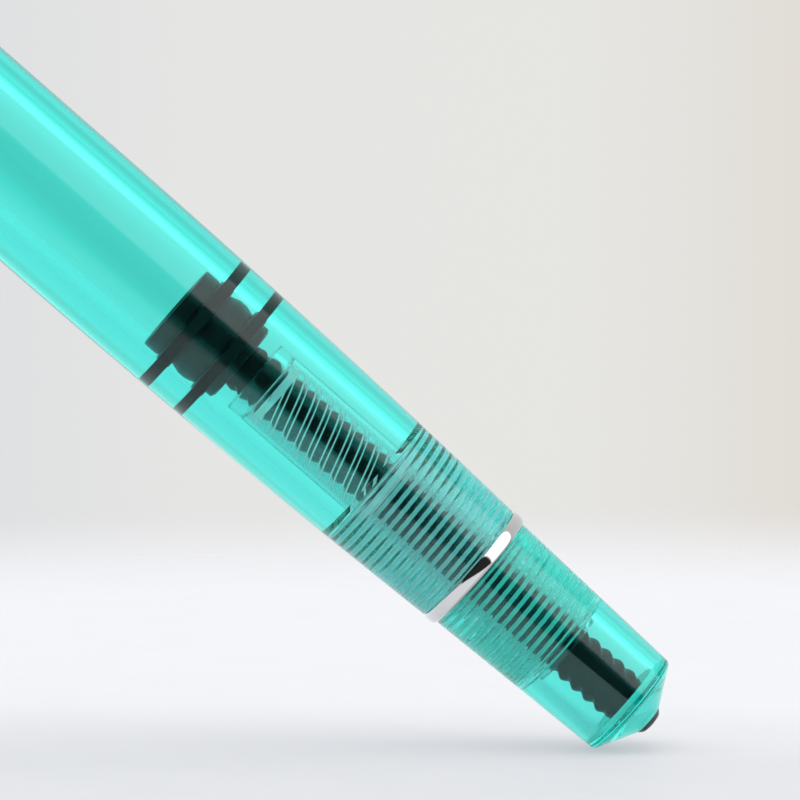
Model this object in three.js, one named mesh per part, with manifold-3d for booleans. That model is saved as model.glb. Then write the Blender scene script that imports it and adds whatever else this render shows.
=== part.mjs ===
// A capped, piston-filling fountain pen with a transparent barrel, cap and turning knob.
//
// Units are millimetres. The pen's axis is Z: z = 0 is the tip of the tail and +Z runs to the top of
// the cap. The clip and the upper face of the nib look along -Y, and so does one of the two flats of
// the piston rod. Threads are plain cylinders here, each at its own pitch radius with a small gap.
import * as THREE from "three";
import { mergeVertices } from "three/addons/utils/BufferGeometryUtils.js";
import Module from "manifold-3d";

// ---------------------------------------------------------------- driving dimensions
const ROUND = 32; // facets round a large part
const SMALL = 24; // facets round a small part
const FIT = 0.05; // gap between two pieces that are fixed to one another
const SEAT = 0.04; // gap along the axis between two pieces that touch

// Barrel: its outside swells as a parabola from the tail ring to its widest place.
const BARREL = { rear: 19.8, front: 86.4, widest: 64, radius: 6.47, swell: 5.12e-4, shoulder: 77.4 };
const CHAMBER = { radius: 4.15, rear: 30, front: 77 }; // the ink chamber's bore
const REAR_THREAD = 4.7; // barrel to piston guide
const FRONT_THREAD = { radius: 5.0, rear: 77.2 }; // barrel to section
const CAP_THREAD = { radius: 5.9, start: 78 }; // barrel to cap

// Turning knob: a straight taper that ends in a blunt cone with a jewel at its tip.
const KNOB = { top: 18.55, topRadius: 5.23, endRadius: 4.64, end: 2.35 };
const KNOB_BORE = { threadEnd: 9.9, radius: 3.3, end: 2.75 };
const KNOB_THREAD = 4.2; // knob to piston guide
const CONE = { tip: 0.5, tipRadius: 1.36, slope: 2.05, corner: 0.62 }; // slope: radius gained per unit of z
const JEWEL = { flat: 0.35, stud: 0.75, studLength: 1.2 };
const TAIL_RING = { rear: 18.66, front: 19.76, radius: 5.56, bore: 4.55, counterbore: 4.95 };

// Piston guide: the fixed tube that the knob screws on to, and that keeps the rod from turning. The drive
// sleeve is fixed in the knob and turns inside the guide, and its thread drives the rod.
const GUIDE = { rear: 10.3, front: 42.75, tube: 3.27, bore: 2.82, key: 1.48, flange: 4.88, flangeTop: 19.02 };
const SLEEVE = { front: 41.1, radius: 2.7, bore: 2.27, flange: 3.24, flangeRear: 8.6, flangeFront: 9.82 };
const ROD = { rear: 2.95, front: 44, radius: 2.17, flat: 1.45, spigot: 1.6, spigotFront: 47.4 };

// Piston head, with a groove for each of its two seals.
const HEAD = { rear: 44.16, front: 51.06, collar: 3.55, body: 3.8, nose: 3.85, groove: 3.05 };
const SEALS = [
  { name: "piston_rear_seal", rear: 44.88, front: 45.97 },
  { name: "piston_front_seal", rear: 48.4, front: 49.6 },
];

// Section (grip) and nib unit.
const SECTION = { rear: 77.3, shoulder: 86.5, front: 106.1, radius: 5.6, waist: 4.8, waistZ: 101, lip: 5.15 };
const SECTION_BORE = { ink: 3.05, collar: 4.0, collarRear: 88 };
const SECTION_SEAL = { rear: 78.4, front: 79.4, groove: 4.2 };
const SECTION_RING = { front: 107.1, radius: 5.2 };
const COLLAR = { rear: 88.2, front: 106.9, radius: 3.93, bore: 3.36 };
const FEED = { rear: 80.5, front: 123.6, radius: 2.84, tail: 2.2, shoulder: 108 };
const NIB = { rear: 93, front: 128.6, radius: 3.3, thickness: 0.34, wrap: 100, shoulder: 109.5, droop: 2.35 };
const BREATHER = { z: 117.6, radius: 0.7 };
const SLIT = 0.16;
const TIPPING = 0.42;

// Cap, from its lip to the clip ring, then the finial.
const CAP = { lip: 78.45, top: 132, lipRadius: 7.2, topRadius: 6.55 };
const CAP_BORE = { lower: 6.06, upper: 5.92, step: 104.4 };
const CAP_WEB = { rear: 131.1, hole: 2.2 };
const CAP_BAND = { rear: 80.6, front: 84.4, depth: 0.35, proud: 0.06 };
const LIP_RING = { front: 79.5, inner: 6.2 };
const INNER_CAP = { rear: 104.8, front: 131, radius: 5.82, bore: 5.32, web: 130.3, hole: 1.86 };
const CLIP_RING = { rear: 132.05, front: 132.95, radius: 6.6, hole: 2.2 };
const FINIAL = { rear: 133, radius: 6.4, endRadius: 6.1, end: 136.9, socket: 2.0, socketEnd: 136.2 };
const FINIAL_TIP = { radius: 1.7, jewel: 0.6 };
const SCREW = { rear: 129.4, head: 3.0, headTop: 130.2, radius: 1.75, front: 136 };
const CLIP = { root: 6.85, rise: 9.1, low: 8.75, topZ: 132.5, endZ: 95.5 };
const CLIP_STRIP = { width: 3.0, endWidth: 2.3, thickness: 0.85 };
const CLIP_BALL = { length: 4.2, bulge: 0.75 };

// ---------------------------------------------------------------- materials
const clear = (color, opacity) =>
  new THREE.MeshStandardMaterial({ color, roughness: 0.05, metalness: 0, transparent: true, opacity });
const TEAL = clear(0x2fd6c0, 0.45);
const GUIDE_PLASTIC = clear(0xbfeee6, 0.35);
const LINER_PLASTIC = clear(0xdff5f1, 0.35);
const BLACK_PLASTIC = new THREE.MeshStandardMaterial({ color: 0x14191a, roughness: 0.35, metalness: 0 });
const RUBBER = new THREE.MeshStandardMaterial({ color: 0x0c0c0d, roughness: 0.6, metalness: 0 });
const CHROME = new THREE.MeshStandardMaterial({ color: 0xe9e9ea, roughness: 0.08, metalness: 1 });
const STEEL = new THREE.MeshStandardMaterial({ color: 0xcfd0d2, roughness: 0.22, metalness: 1 });
const JEWEL_STONE = new THREE.MeshStandardMaterial({ color: 0x3a4548, roughness: 0.15, metalness: 0.2 });

// ---------------------------------------------------------------- geometry helpers
const wasm = await Module();
wasm.setup();

// A solid of revolution about Z from a closed profile of [radius, z]. A profile may run along the axis.
function revolve(profile, segments = ROUND) {
  const next = (i) => profile[(i + 1) % profile.length];
  const area = profile.reduce((sum, [r, z], i) => sum + r * next(i)[1] - next(i)[0] * z, 0);
  const points = profile.map(([r, z]) => new THREE.Vector2(r, z));
  if (area < 0) points.reverse();
  const before = (i) => points[(i + points.length - 1) % points.length];
  const first = points.findIndex((p, i) => p.x === 0 && before(i).x === 0);
  const ordered = first < 0 ? points : [...points.slice(first), ...points.slice(0, first)];
  if (first < 0) ordered.push(ordered[0].clone());
  return new THREE.LatheGeometry(ordered, segments).rotateX(Math.PI / 2);
}

// A solid through a list of rings with equal point counts, whose ends join point i to point n - 1 - i.
function loft(rings) {
  const n = rings[0].length;
  const index = [];
  for (let k = 0; k + 1 < rings.length; k++) {
    for (let i = 0; i < n; i++) {
      const [a, b] = [k * n + i, k * n + ((i + 1) % n)];
      index.push(a, b, b + n, a, b + n, a + n);
    }
  }
  for (let i = 0; i + 1 < n - 1 - i; i++) {
    const [a, b, c, d] = [i, i + 1, n - 2 - i, n - 1 - i];
    const end = (rings.length - 1) * n;
    index.push(a, c, b, a, d, c);
    index.push(a + end, b + end, c + end, a + end, c + end, d + end);
  }
  const geometry = new THREE.BufferGeometry().setFromPoints(rings.flat());
  geometry.setIndex(index);
  return geometry;
}

function toSolid(geometry) {
  const bare = new THREE.BufferGeometry().setAttribute("position", geometry.getAttribute("position"));
  bare.setIndex(geometry.index);
  const merged = mergeVertices(bare, 1e-4);
  const solid = new wasm.Manifold(
    new wasm.Mesh({
      numProp: 3,
      vertProperties: merged.attributes.position.array,
      triVerts: merged.index.array,
    }),
  );
  return solid;
}

function toGeometry(solid) {
  const { vertProperties, triVerts } = solid.getMesh();
  return new THREE.BufferGeometry()
    .setAttribute("position", new THREE.BufferAttribute(vertProperties, 3))
    .setIndex(new THREE.BufferAttribute(triVerts, 1));
}

const box = (x, y, z, cx, cy, cz) => toSolid(new THREE.BoxGeometry(x, y, z).translate(cx, cy, cz));

// Evenly spaced values from a to b, both included.
const steps = (a, b, count) => Array.from({ length: count + 1 }, (_, i) => a + ((b - a) * i) / count);

const pen = new THREE.Group();

function add(name, geometry, material) {
  const mesh = new THREE.Mesh(geometry, material);
  mesh.name = name;
  pen.add(mesh);
}

// ---------------------------------------------------------------- barrel
const barrelRadius = (z) => BARREL.radius - BARREL.swell * (BARREL.widest - Math.min(z, BARREL.widest)) ** 2;

function barrel() {
  const outside = steps(BARREL.rear, BARREL.widest, 7).map((z) => [barrelRadius(z), z]);
  return revolve([
    ...outside,
    [BARREL.radius, BARREL.shoulder],
    [CAP_THREAD.radius + 0.3, CAP_THREAD.start],
    [CAP_THREAD.radius, CAP_THREAD.start],
    [CAP_THREAD.radius, BARREL.front],
    [FRONT_THREAD.radius, BARREL.front],
    [FRONT_THREAD.radius, FRONT_THREAD.rear],
    [CHAMBER.radius, CHAMBER.front],
    [CHAMBER.radius, CHAMBER.rear + 0.3],
    [REAR_THREAD, CHAMBER.rear],
    [REAR_THREAD, BARREL.rear],
  ]);
}

// ---------------------------------------------------------------- tail: knob, jewel and ring
function turningKnob() {
  const coneEnd = CONE.tip + (KNOB.endRadius - CONE.corner - CONE.tipRadius) / CONE.slope;
  return revolve([
    [0, CONE.tip + JEWEL.studLength],
    [JEWEL.stud + FIT, CONE.tip + JEWEL.studLength],
    [JEWEL.stud + FIT, CONE.tip],
    [CONE.tipRadius, CONE.tip],
    [KNOB.endRadius - CONE.corner, coneEnd],
    [KNOB.endRadius - CONE.corner * 0.2, coneEnd + CONE.corner * 0.45],
    [KNOB.endRadius, KNOB.end],
    [KNOB.topRadius, KNOB.top - 0.15],
    [KNOB.topRadius - 0.15, KNOB.top],
    [KNOB_THREAD + 0.05, KNOB.top],
    [KNOB_THREAD + 0.05, KNOB_BORE.threadEnd],
    [KNOB_BORE.radius, KNOB_BORE.threadEnd],
    [KNOB_BORE.radius, KNOB_BORE.end],
    [0, KNOB_BORE.end],
  ]);
}

// A jewel with its flat end at z = 0 and its stud pointing along +Z.
function jewel(baseRadius, height) {
  return revolve(
    [
      [0, 0],
      [JEWEL.flat, 0],
      [JEWEL.flat + (baseRadius - JEWEL.flat) * 0.45, height * 0.22],
      [baseRadius - 0.02, height],
      [JEWEL.stud, height],
      [JEWEL.stud, height + JEWEL.studLength - SEAT],
      [0, height + JEWEL.studLength - SEAT],
    ],
    SMALL,
  );
}

function tailRing() {
  const { rear, front, radius, bore, counterbore } = TAIL_RING;
  return revolve([
    [counterbore, rear],
    [radius - 0.18, rear],
    [radius, rear + 0.3],
    [radius, front - 0.3],
    [radius - 0.1, front],
    [bore, front],
    [bore, GUIDE.flangeTop + SEAT],
    [counterbore, GUIDE.flangeTop + SEAT],
  ]);
}

// ---------------------------------------------------------------- filling mechanism
// The rod's cross-section: a circle with two flats, grown by gap.
const rodSlab = (solid, gap) => solid.intersect(box(20, 2 * (ROD.flat + gap), 200, 0, 0, 50));

function pistonGuide() {
  const outer = toSolid(
    revolve([
      [0, GUIDE.rear],
      [KNOB_THREAD - 0.1, GUIDE.rear],
      [KNOB_THREAD - 0.1, TAIL_RING.rear + 0.02],
      [GUIDE.flange, TAIL_RING.rear + 0.02],
      [GUIDE.flange, GUIDE.flangeTop],
      [TAIL_RING.bore - FIT, GUIDE.flangeTop],
      [TAIL_RING.bore - FIT, BARREL.rear + 0.1],
      [REAR_THREAD - FIT, BARREL.rear + 0.4],
      [REAR_THREAD - FIT, CHAMBER.rear - 0.3],
      [GUIDE.tube + 0.5, CHAMBER.rear - 0.1],
      [GUIDE.tube, CHAMBER.rear + 0.5],
      [GUIDE.tube, GUIDE.front - 0.25],
      [GUIDE.tube - 0.25, GUIDE.front],
      [0, GUIDE.front],
    ]),
  );
  const bore = revolve([
    [0, GUIDE.rear - 1],
    [GUIDE.bore, GUIDE.rear - 1],
    [GUIDE.bore, GUIDE.front - GUIDE.key],
    [0, GUIDE.front - GUIDE.key],
  ]);
  const hole = rodSlab(toSolid(new THREE.CylinderGeometry(ROD.radius + 0.1, ROD.radius + 0.1, 8, ROUND)
    .rotateX(Math.PI / 2)
    .translate(0, 0, GUIDE.front)), 0.1);
  return toGeometry(outer.subtract(toSolid(bore)).subtract(hole));
}

function driveSleeve() {
  const { front, radius, bore, flange, flangeRear, flangeFront } = SLEEVE;
  return revolve([
    [bore, flangeRear],
    [flange, flangeRear],
    [flange, flangeFront],
    [radius, flangeFront],
    [radius, front],
    [bore, front],
  ]);
}

function pistonRod() {
  const shank = revolve(
    [
      [0, ROD.rear],
      [ROD.radius - 0.2, ROD.rear],
      [ROD.radius, ROD.rear + 0.3],
      [ROD.radius, ROD.front],
      [0, ROD.front],
    ],
    SMALL,
  );
  const spigot = new THREE.CylinderGeometry(ROD.spigot, ROD.spigot, ROD.spigotFront - ROD.front + 1, SMALL)
    .rotateX(Math.PI / 2)
    .translate(0, 0, (ROD.spigotFront + ROD.front - 1) / 2);
  return toGeometry(rodSlab(toSolid(shank), 0).add(toSolid(spigot)));
}

function pistonHead() {
  const [rearSeal, frontSeal] = SEALS;
  const socket = { radius: ROD.spigot + FIT, end: ROD.spigotFront + SEAT };
  return revolve([
    [socket.radius, HEAD.rear],
    [HEAD.collar, HEAD.rear],
    [HEAD.collar, rearSeal.rear - SEAT],
    [HEAD.groove - FIT, rearSeal.rear - SEAT],
    [HEAD.groove - FIT, rearSeal.front + SEAT],
    [HEAD.body - 0.15, rearSeal.front + SEAT],
    [HEAD.body, rearSeal.front + 0.7],
    [HEAD.body, frontSeal.rear - 0.8],
    [HEAD.body - 0.2, frontSeal.rear - SEAT],
    [HEAD.groove - FIT, frontSeal.rear - SEAT],
    [HEAD.groove - FIT, frontSeal.front + SEAT],
    [HEAD.nose - 0.15, frontSeal.front + SEAT],
    [HEAD.nose, frontSeal.front + 0.3],
    [HEAD.nose, HEAD.front],
    [0, HEAD.front],
    [0, socket.end],
    [socket.radius, socket.end],
  ]);
}

function seal({ rear, front }) {
  const radius = CHAMBER.radius - FIT;
  return revolve([
    [HEAD.groove, rear],
    [radius - 0.3, rear],
    [radius, rear + 0.3],
    [radius, front - 0.3],
    [radius - 0.3, front],
    [HEAD.groove, front],
  ]);
}

// ---------------------------------------------------------------- section and nib unit
function section() {
  const { rear, shoulder, front, radius, waist, waistZ, lip } = SECTION;
  const tenon = FRONT_THREAD.radius - FIT;
  const groove = {
    rear: SECTION_SEAL.rear - SEAT,
    front: SECTION_SEAL.front + SEAT,
    radius: SECTION_SEAL.groove - FIT,
  };
  return revolve([
    [SECTION_BORE.ink, rear],
    [tenon, rear],
    [tenon, groove.rear],
    [groove.radius, groove.rear],
    [groove.radius, groove.front],
    [tenon, groove.front],
    [tenon, shoulder],
    [radius, shoulder],
    [radius - 0.25, shoulder + 5],
    [waist, waistZ],
    [waist + 0.1, waistZ + 2.5],
    [lip, front - 0.4],
    [lip - 0.1, front],
    [SECTION_BORE.collar, front],
    [SECTION_BORE.collar, SECTION_BORE.collarRear],
    [SECTION_BORE.ink, SECTION_BORE.collarRear],
  ]);
}

function sectionSeal() {
  const { rear, front, groove } = SECTION_SEAL;
  const radius = FRONT_THREAD.radius - 0.02;
  return revolve([
    [groove, rear],
    [radius - 0.3, rear],
    [radius, rear + 0.35],
    [radius, front - 0.35],
    [radius - 0.3, front],
    [groove, front],
  ]);
}

function sectionRing() {
  const rear = SECTION.front + SEAT;
  return revolve([
    [SECTION_BORE.collar, rear],
    [SECTION_RING.radius, rear],
    [SECTION_RING.radius, SECTION_RING.front - 0.35],
    [SECTION_RING.radius - 0.35, SECTION_RING.front],
    [SECTION_BORE.collar, SECTION_RING.front],
  ]);
}

function nibCollar() {
  const { rear, front, radius, bore } = COLLAR;
  return revolve([[bore, rear], [radius, rear], [radius, front], [bore, front]]);
}

// How far the nib's and the feed's centre line has moved from the axis towards +Y at z.
function droop(z) {
  const t = Math.max(0, (z - NIB.shoulder) / (NIB.front - NIB.shoulder));
  return NIB.droop * t ** 1.35;
}

function feed() {
  const shape = [
    [FEED.rear, FEED.tail],
    [SECTION_BORE.collarRear, FEED.tail],
    [SECTION_BORE.collarRear + 0.3, FEED.radius],
    [FEED.shoulder, FEED.radius],
    [112.5, 2.55],
    [117, 1.95],
    [121, 1.1],
    [FEED.front, 0.45],
  ];
  const top = NIB.radius - NIB.thickness - 0.1; // the feed lies this far from the nib's centre line
  const rings = shape.map(([z, radius]) => {
    const offset = z > FEED.shoulder ? droop(z) - (top - radius) : 0;
    return steps(0, 360, SMALL).slice(0, SMALL).map((a) => {
      const t = THREE.MathUtils.degToRad(a);
      return new THREE.Vector3(radius * Math.cos(t), offset + radius * Math.sin(t), z);
    });
  });
  return loft(rings);
}

// Half of the nib's wrap round its centre line at z, in degrees.
function nibWrap(z) {
  if (z < NIB.shoulder) return NIB.wrap;
  const t = (z - NIB.shoulder) / (NIB.front - NIB.shoulder);
  return NIB.wrap * (1 - t) ** 0.8 * (1 - 0.35 * t) + 6;
}

function nib() {
  const across = 12;
  const stations = [NIB.rear, 104, ...steps(NIB.shoulder, NIB.front, 9)];
  const rings = stations.map((z) => {
    const side = (radius, from, to) =>
      steps(from, to, across).map((share) => {
        const t = THREE.MathUtils.degToRad(-90 + share * nibWrap(z));
        return new THREE.Vector3(radius * Math.cos(t), droop(z) + radius * Math.sin(t), z);
      });
    return [...side(NIB.radius, -1, 1), ...side(NIB.radius - NIB.thickness, 1, -1)];
  });
  const tip = new THREE.SphereGeometry(TIPPING, 10, 8)
    .scale(1, 1, 1.25)
    .translate(0, droop(NIB.front) - NIB.radius + TIPPING * 0.75, NIB.front - 0.25);
  const hole = new THREE.CylinderGeometry(BREATHER.radius, BREATHER.radius, 4, 12);
  hole.translate(0, -3, BREATHER.z);
  const slit = box(SLIT, 8, NIB.front + 2 - BREATHER.z, 0, -2, (NIB.front + 2 + BREATHER.z) / 2);
  return toGeometry(toSolid(loft(rings)).add(toSolid(tip)).subtract(toSolid(hole)).subtract(slit));
}

// ---------------------------------------------------------------- cap
// The cap's outside narrows from lip to top along a shallow curve.
function capRadius(z) {
  const t = (z - CAP.lip) / (CAP.top - CAP.lip);
  return CAP.lipRadius - (CAP.lipRadius - CAP.topRadius) * t ** 1.6;
}

function capTube() {
  const recess = { rear: CAP_BAND.rear - SEAT, front: CAP_BAND.front + SEAT };
  const floor = CAP.lipRadius - CAP_BAND.depth;
  const lipTop = LIP_RING.front + SEAT;
  return revolve([
    [CAP_BORE.lower, lipTop],
    [CAP.lipRadius, lipTop],
    [CAP.lipRadius, recess.rear],
    [floor, recess.rear],
    [floor, recess.front],
    [CAP.lipRadius, recess.front],
    ...steps(95, CAP.top - 0.05, 4).map((z) => [capRadius(z), z]),
    [CAP_WEB.hole, CAP.top - 0.05],
    [CAP_WEB.hole, CAP_WEB.rear],
    [CAP_BORE.upper, CAP_WEB.rear],
    [CAP_BORE.upper, CAP_BORE.step],
    [CAP_BORE.lower, CAP_BORE.step - 0.3],
  ]);
}

function capBand() {
  const outer = CAP.lipRadius + CAP_BAND.proud;
  const inner = CAP.lipRadius - CAP_BAND.depth + FIT;
  return revolve([
    [inner, CAP_BAND.rear],
    [outer - 0.08, CAP_BAND.rear],
    [outer, CAP_BAND.rear + 0.15],
    [outer, CAP_BAND.front - 0.15],
    [outer - 0.08, CAP_BAND.front],
    [inner, CAP_BAND.front],
  ]);
}

function lipRing() {
  const outer = CAP.lipRadius + CAP_BAND.proud;
  return revolve([
    [LIP_RING.inner, CAP.lip],
    [outer - 0.3, CAP.lip],
    [outer, CAP.lip + 0.3],
    [outer, LIP_RING.front],
    [LIP_RING.inner, LIP_RING.front],
  ]);
}

function innerCap() {
  const { rear, front, radius, bore, web, hole } = INNER_CAP;
  return revolve([
    [bore + 0.2, rear],
    [radius, rear],
    [radius, front],
    [hole, front],
    [hole, web],
    [bore, web],
    [bore, rear + 0.6],
  ]);
}

function clipRing() {
  const { rear, front, radius, hole } = CLIP_RING;
  return revolve([[hole, rear], [radius, rear], [radius, front], [hole, front]]);
}

const finialTip = FINIAL.end + (FINIAL.endRadius - CONE.corner - FINIAL_TIP.radius) / CONE.slope;

function finial() {
  const tip = finialTip;
  return revolve([
    [0, tip - JEWEL.studLength],
    [JEWEL.stud + FIT, tip - JEWEL.studLength],
    [JEWEL.stud + FIT, tip],
    [FINIAL_TIP.radius, tip],
    [FINIAL.endRadius - CONE.corner, FINIAL.end],
    [FINIAL.endRadius, FINIAL.end - CONE.corner],
    [FINIAL.radius, FINIAL.rear],
    [FINIAL.socket, FINIAL.rear],
    [FINIAL.socket, FINIAL.socketEnd],
    [0, FINIAL.socketEnd],
  ]);
}

function finialScrew() {
  const { rear, head, headTop, radius, front } = SCREW;
  return revolve(
    [
      [0, rear],
      [head - 0.2, rear],
      [head, rear + 0.2],
      [head, headTop],
      [radius, headTop],
      [radius, front],
      [0, front],
    ],
    SMALL,
  );
}

// The clip's arm: a rounded strip that leaves the clip ring, turns along the cap and ends in a ball.
function clipArm() {
  const bend = [
    [CLIP.root, CLIP.topZ, 0],
    [CLIP.root + 0.9, CLIP.topZ, 0],
    [CLIP.rise - 0.55, CLIP.topZ - 0.25, 35],
    [CLIP.rise, CLIP.topZ - 1.1, 75],
  ];
  const run = steps(CLIP.topZ - 3, CLIP.endZ + CLIP_BALL.length, 5).map((z) => [z, 0]);
  const ball = steps(0.25, 1, 3).map((t) => [CLIP.endZ + CLIP_BALL.length * (1 - t), t]);
  const { width, thickness } = CLIP_STRIP;
  const stations = [
    ...bend.map(([y, z, turn]) => ({ y, z, turn, width, thickness, inward: 0 })),
    ...[...run, ...ball].map(([z, t]) => {
      const along = (CLIP.topZ - z) / (CLIP.topZ - CLIP.endZ);
      const swell = Math.sin(Math.PI * Math.min(t, 0.94)) ** 0.6;
      return {
        y: CLIP.rise + (CLIP.low - CLIP.rise) * along,
        z,
        turn: 90,
        width: (CLIP_STRIP.width + (CLIP_STRIP.endWidth - CLIP_STRIP.width) * along) * (t > 0.9 ? 0.55 : 1),
        thickness: CLIP_STRIP.thickness * (t > 0.9 ? 0.7 : 1),
        inward: CLIP_BALL.bulge * (t > 0 ? swell : 0),
      };
    }),
  ];
  const rings = stations.map(({ y, z, turn, width, thickness, inward }) => {
    const t = THREE.MathUtils.degToRad(turn);
    const [half, bevel] = [width / 2, width * 0.14];
    const outer = thickness / 2;
    const inner = -thickness / 2 - inward;
    const shape = [
      [-half, inner + 0.2], [-half + bevel, inner], [half - bevel, inner], [half, inner + 0.2],
      [half, outer - 0.25], [half - bevel, outer], [-half + bevel, outer], [-half, outer - 0.25],
    ];
    // Off the strip's face, outwards: +Z where the strip leaves the ring, and -Y along the cap.
    return shape.map(([x, off]) => new THREE.Vector3(x, -(y + off * Math.sin(t)), z + off * Math.cos(t)));
  });
  return loft(rings);
}

// ---------------------------------------------------------------- assembly
add("barrel", barrel(), TEAL);
add("tail_ring", tailRing(), CHROME);
add("piston_guide", pistonGuide(), GUIDE_PLASTIC);
add("turning_knob", turningKnob(), TEAL);
add("drive_sleeve", driveSleeve(), GUIDE_PLASTIC);
add("tail_jewel", jewel(CONE.tipRadius, CONE.tip - SEAT), JEWEL_STONE);
add("piston_rod", pistonRod(), BLACK_PLASTIC);
add("piston_head", pistonHead(), BLACK_PLASTIC);
for (const s of SEALS) add(s.name, seal(s), RUBBER);

add("section", section(), TEAL);
add("section_seal", sectionSeal(), RUBBER);
add("section_ring", sectionRing(), CHROME);
add("nib_collar", nibCollar(), BLACK_PLASTIC);
add("feed", feed(), BLACK_PLASTIC);
add("nib", nib(), STEEL);

add("cap_tube", capTube(), TEAL);
add("cap_band", capBand(), CHROME);
add("cap_lip_ring", lipRing(), CHROME);
add("inner_cap", innerCap(), LINER_PLASTIC);
add("clip_ring", clipRing(), CHROME);
add("clip_arm", clipArm(), CHROME);
add("finial", finial(), TEAL);
add("finial_screw", finialScrew(), BLACK_PLASTIC);


const topJewel = jewel(FINIAL_TIP.radius, FINIAL_TIP.jewel).rotateX(Math.PI);
add("finial_jewel", topJewel.translate(0, 0, finialTip + SEAT + FINIAL_TIP.jewel), JEWEL_STONE);

export default pen;
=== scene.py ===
"""The looks of a transparent piston-filling fountain pen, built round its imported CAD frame.

The pen's axis is Z, from the tail tip at z = 0 to the top of the cap. Shapes are written in millimetres
and turned into metres by MM. Places come from the boxes of the CAD nodes.
"""

import math

import bmesh
import bpy
import numpy as np
from mathutils import Matrix, Vector


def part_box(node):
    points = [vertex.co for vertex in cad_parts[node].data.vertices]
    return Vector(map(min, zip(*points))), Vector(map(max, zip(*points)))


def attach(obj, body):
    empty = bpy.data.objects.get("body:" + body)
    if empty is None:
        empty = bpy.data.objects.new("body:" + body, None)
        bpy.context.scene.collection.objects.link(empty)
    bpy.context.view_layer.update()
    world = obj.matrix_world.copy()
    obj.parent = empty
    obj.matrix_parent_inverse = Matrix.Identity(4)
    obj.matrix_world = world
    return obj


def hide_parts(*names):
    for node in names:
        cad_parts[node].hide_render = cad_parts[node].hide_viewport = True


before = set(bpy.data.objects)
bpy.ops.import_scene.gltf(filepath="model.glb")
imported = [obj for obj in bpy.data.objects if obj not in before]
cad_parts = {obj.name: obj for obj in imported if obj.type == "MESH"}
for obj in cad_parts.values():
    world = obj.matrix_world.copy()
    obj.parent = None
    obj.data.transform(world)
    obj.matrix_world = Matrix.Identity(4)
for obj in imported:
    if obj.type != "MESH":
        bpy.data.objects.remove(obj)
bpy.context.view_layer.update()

MM = 0.001
SEGMENTS = 128  # round a large piece
THREAD_SEGMENTS = 192  # round a piece with fine threads
SMALL_SEGMENTS = 64  # round a small piece
SMOOTH_ANGLE = math.radians(42)  # edges sharper than this stay crisp
THREAD_SMOOTH_ANGLE = math.radians(66)  # the same on a piece with fine threads, whose crests are round
SIDE = "side"  # the face attribute that says which side a face is on
OUTSIDE = 0.05  # a face whose normal leans outwards by more than this is on the outside
FLANK_SLOPE = 0.03  # an inner face is a thread's flank when its normal leans along Z by more than this
END_SLOPE = 0.96  # and an end when it leans by more than this
ACRYLIC_IOR = 1.49
FLANK_IOR = 1.22  # lower, so that thread flanks send fewer rays astray


# ---------------------------------------------------------------- places, from the frame
def extent(node):
    """Outer radius, lower end and upper end of a round CAD node, in millimetres."""
    low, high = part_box(node)
    return high.x / MM, low.z / MM, high.z / MM


BARREL_R, BARREL_REAR, BARREL_FRONT = extent("barrel")
RING_R, RING_REAR, RING_FRONT = extent("tail_ring")
GUIDE_R, GUIDE_REAR, GUIDE_FRONT = extent("piston_guide")
KNOB_R, KNOB_REAR, KNOB_FRONT = extent("turning_knob")
SLEEVE_R, _, SLEEVE_FRONT = extent("drive_sleeve")
JEWEL_R, JEWEL_TIP, _ = extent("tail_jewel")
ROD_R, ROD_REAR, ROD_FRONT = extent("piston_rod")
HEAD_R, HEAD_REAR, HEAD_FRONT = extent("piston_head")
SEAL_R, REAR_SEAL_REAR, REAR_SEAL_FRONT = extent("piston_rear_seal")
_, FRONT_SEAL_REAR, FRONT_SEAL_FRONT = extent("piston_front_seal")
SECTION_R, SECTION_REAR, SECTION_FRONT = extent("section")
_, SECTION_SEAL_REAR, SECTION_SEAL_FRONT = extent("section_seal")
COLLAR_R, COLLAR_REAR, COLLAR_FRONT = extent("nib_collar")
FEED_R, FEED_REAR, FEED_FRONT = extent("feed")
NIB_R, NIB_REAR, NIB_FRONT = extent("nib")
_, CAP_REAR, CAP_FRONT = extent("cap_tube")
BAND_R, BAND_REAR, BAND_FRONT = extent("cap_band")
LIP_R, LIP_REAR, LIP_FRONT = extent("cap_lip_ring")
LINER_R, LINER_REAR, LINER_FRONT = extent("inner_cap")
FINIAL_R, FINIAL_REAR, FINIAL_FRONT = extent("finial")
SCREW_R, SCREW_REAR, SCREW_FRONT = extent("finial_screw")
TOP_JEWEL_R, TOP_JEWEL_STUD, TOP_JEWEL_TIP = extent("finial_jewel")

# Radii inside the pieces, which a box can't give.
WALL_GAP = 0.05
CHAMBER_R = SEAL_R + WALL_GAP
REAR_THREAD_R = 4.7
KNOB_THREAD_R = 4.2
FRONT_THREAD_R = 5.0
CAP_THREAD_R = 5.9
FINE_PITCH = 0.75
FINE_DEPTH = 0.22  # of the inner threads in the barrel and the knob
SHALLOW_DEPTH = 0.1  # of the guide's threads, which run in those two
FINE_SAMPLES = 32  # rows to a turn of an inner thread
ROD_PITCH = 1.27
ROD_STARTS = 4
CAP_PITCH = 0.9
CAP_STARTS = 4
BARREL_SHOULDER = 77.4
GUIDE_FLANGE_FRONT = 29.8
GUIDE_TUBE_R = 3.27
GUIDE_BORE_R = 3.0


# ---------------------------------------------------------------- profiles
def rounded_wave(phase):
    """A thread with rounded crests and roots, from -1 to 1."""
    sharpness = 0.82
    return np.arcsin(sharpness * np.sin(2 * math.pi * phase)) / math.asin(sharpness)


def groove_wave(phase):
    """A coarse drive thread with flat lands and narrow flat grooves between steep flanks, from -1 to 1."""
    flank, groove = 0.1, 0.36
    places = (0, flank, groove, groove + flank, 1)
    return np.interp(np.mod(phase, 1), places, (-1, 1, 1, -1, -1))


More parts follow.
